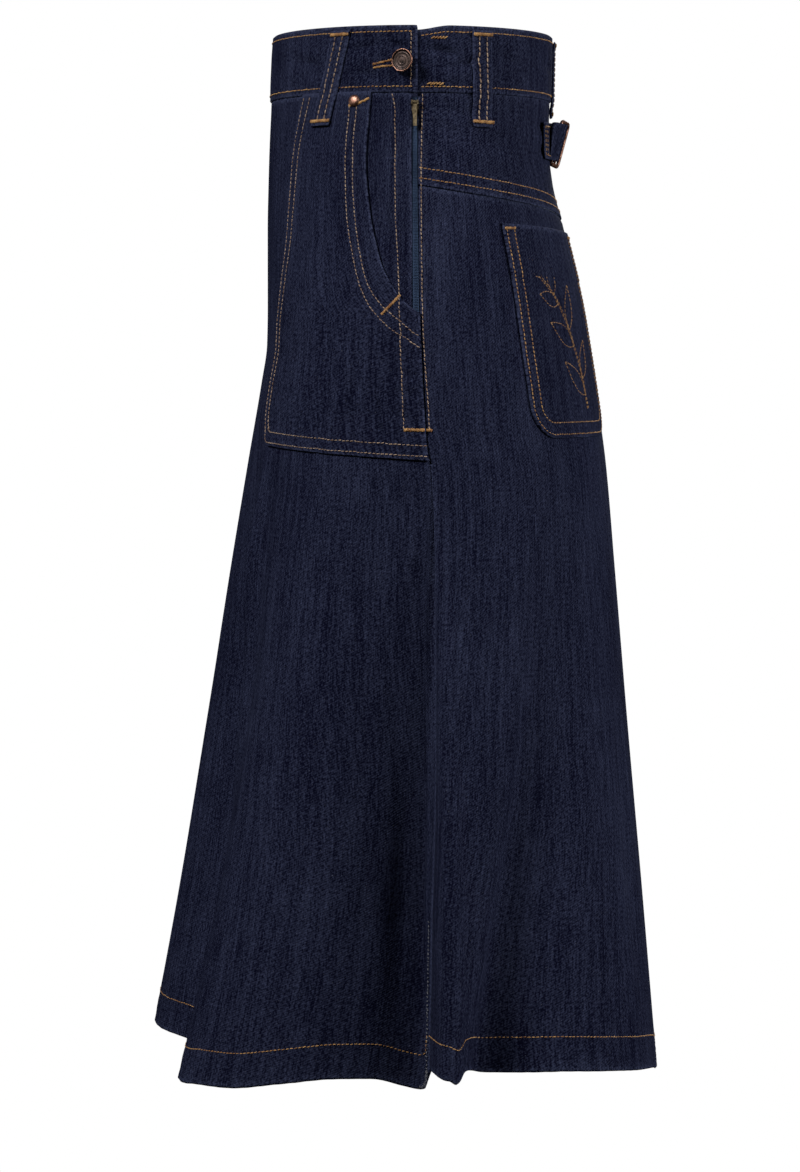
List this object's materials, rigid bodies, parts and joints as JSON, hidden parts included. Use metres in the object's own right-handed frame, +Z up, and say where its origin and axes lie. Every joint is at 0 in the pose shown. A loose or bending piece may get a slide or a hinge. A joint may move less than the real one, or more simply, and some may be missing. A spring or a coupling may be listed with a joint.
{
  "type": "denim skirt",
  "caption": "High-waisted flared denim skirt in its hollow worn form, with side zip, patch pockets, belt loops and a back cinch buckle.",
  "frame": {"origin": "centre of the waistband at half its height, inside the open waist", "axes": "+Z up, -Y to the front of the garment, +X to the wearer's left, where the zip is"},
  "size_m": [0.4913, 0.3611, 0.7349],
  "materials": {
    "denim": "dark indigo denim twill, rinsed",
    "denim_reverse": "undyed weft side of the denim",
    "thread_gold": "thick orange gold topstitching thread",
    "thread_cream": "tan and cream topstitching thread",
    "zip_tape": "blue woven zip tape",
    "zip_brass": "pale satin brass",
    "button_bronze": "dark antique bronze with a bright rim",
    "rivet_copper": "polished antique copper",
    "buckle_copper": "satin antique copper"
  },
  "bodies": {
    "skirt": {"waistband": "denim", "front_panel": "denim", "back_yoke": "denim", "back_panel": "denim", "front_pocket_left": "denim", "front_pocket_right": "denim", "back_pocket_left": "denim", "back_pocket_right": "denim", "belt_loop_front_left": "denim", "belt_loop_back_left": "denim", "belt_loop_centre_back": "denim", "belt_loop_back_right": "denim", "belt_loop_front_right": "denim", "cinch_tab_left": "denim", "cinch_tab_right": "denim", "cinch_buckle": "buckle_copper", "waist_button": "button_bronze", "rivet_left": "rivet_copper", "rivet_right": "rivet_copper", "zip_tape": "zip_tape", "zip_slider": "zip_brass"},
    "zip_pull": {"zip_pull_tab": "zip_brass"}
  },
  "joints": [
    {"name": "zip_pull_hinge", "type": "hinge", "parent": "skirt", "child": "zip_pull", "pos_m": [0.12683, 0.00107, -0.0294], "axis": [0.0145, -0.9999, 0], "range_deg": [0, 140]}
  ]
}
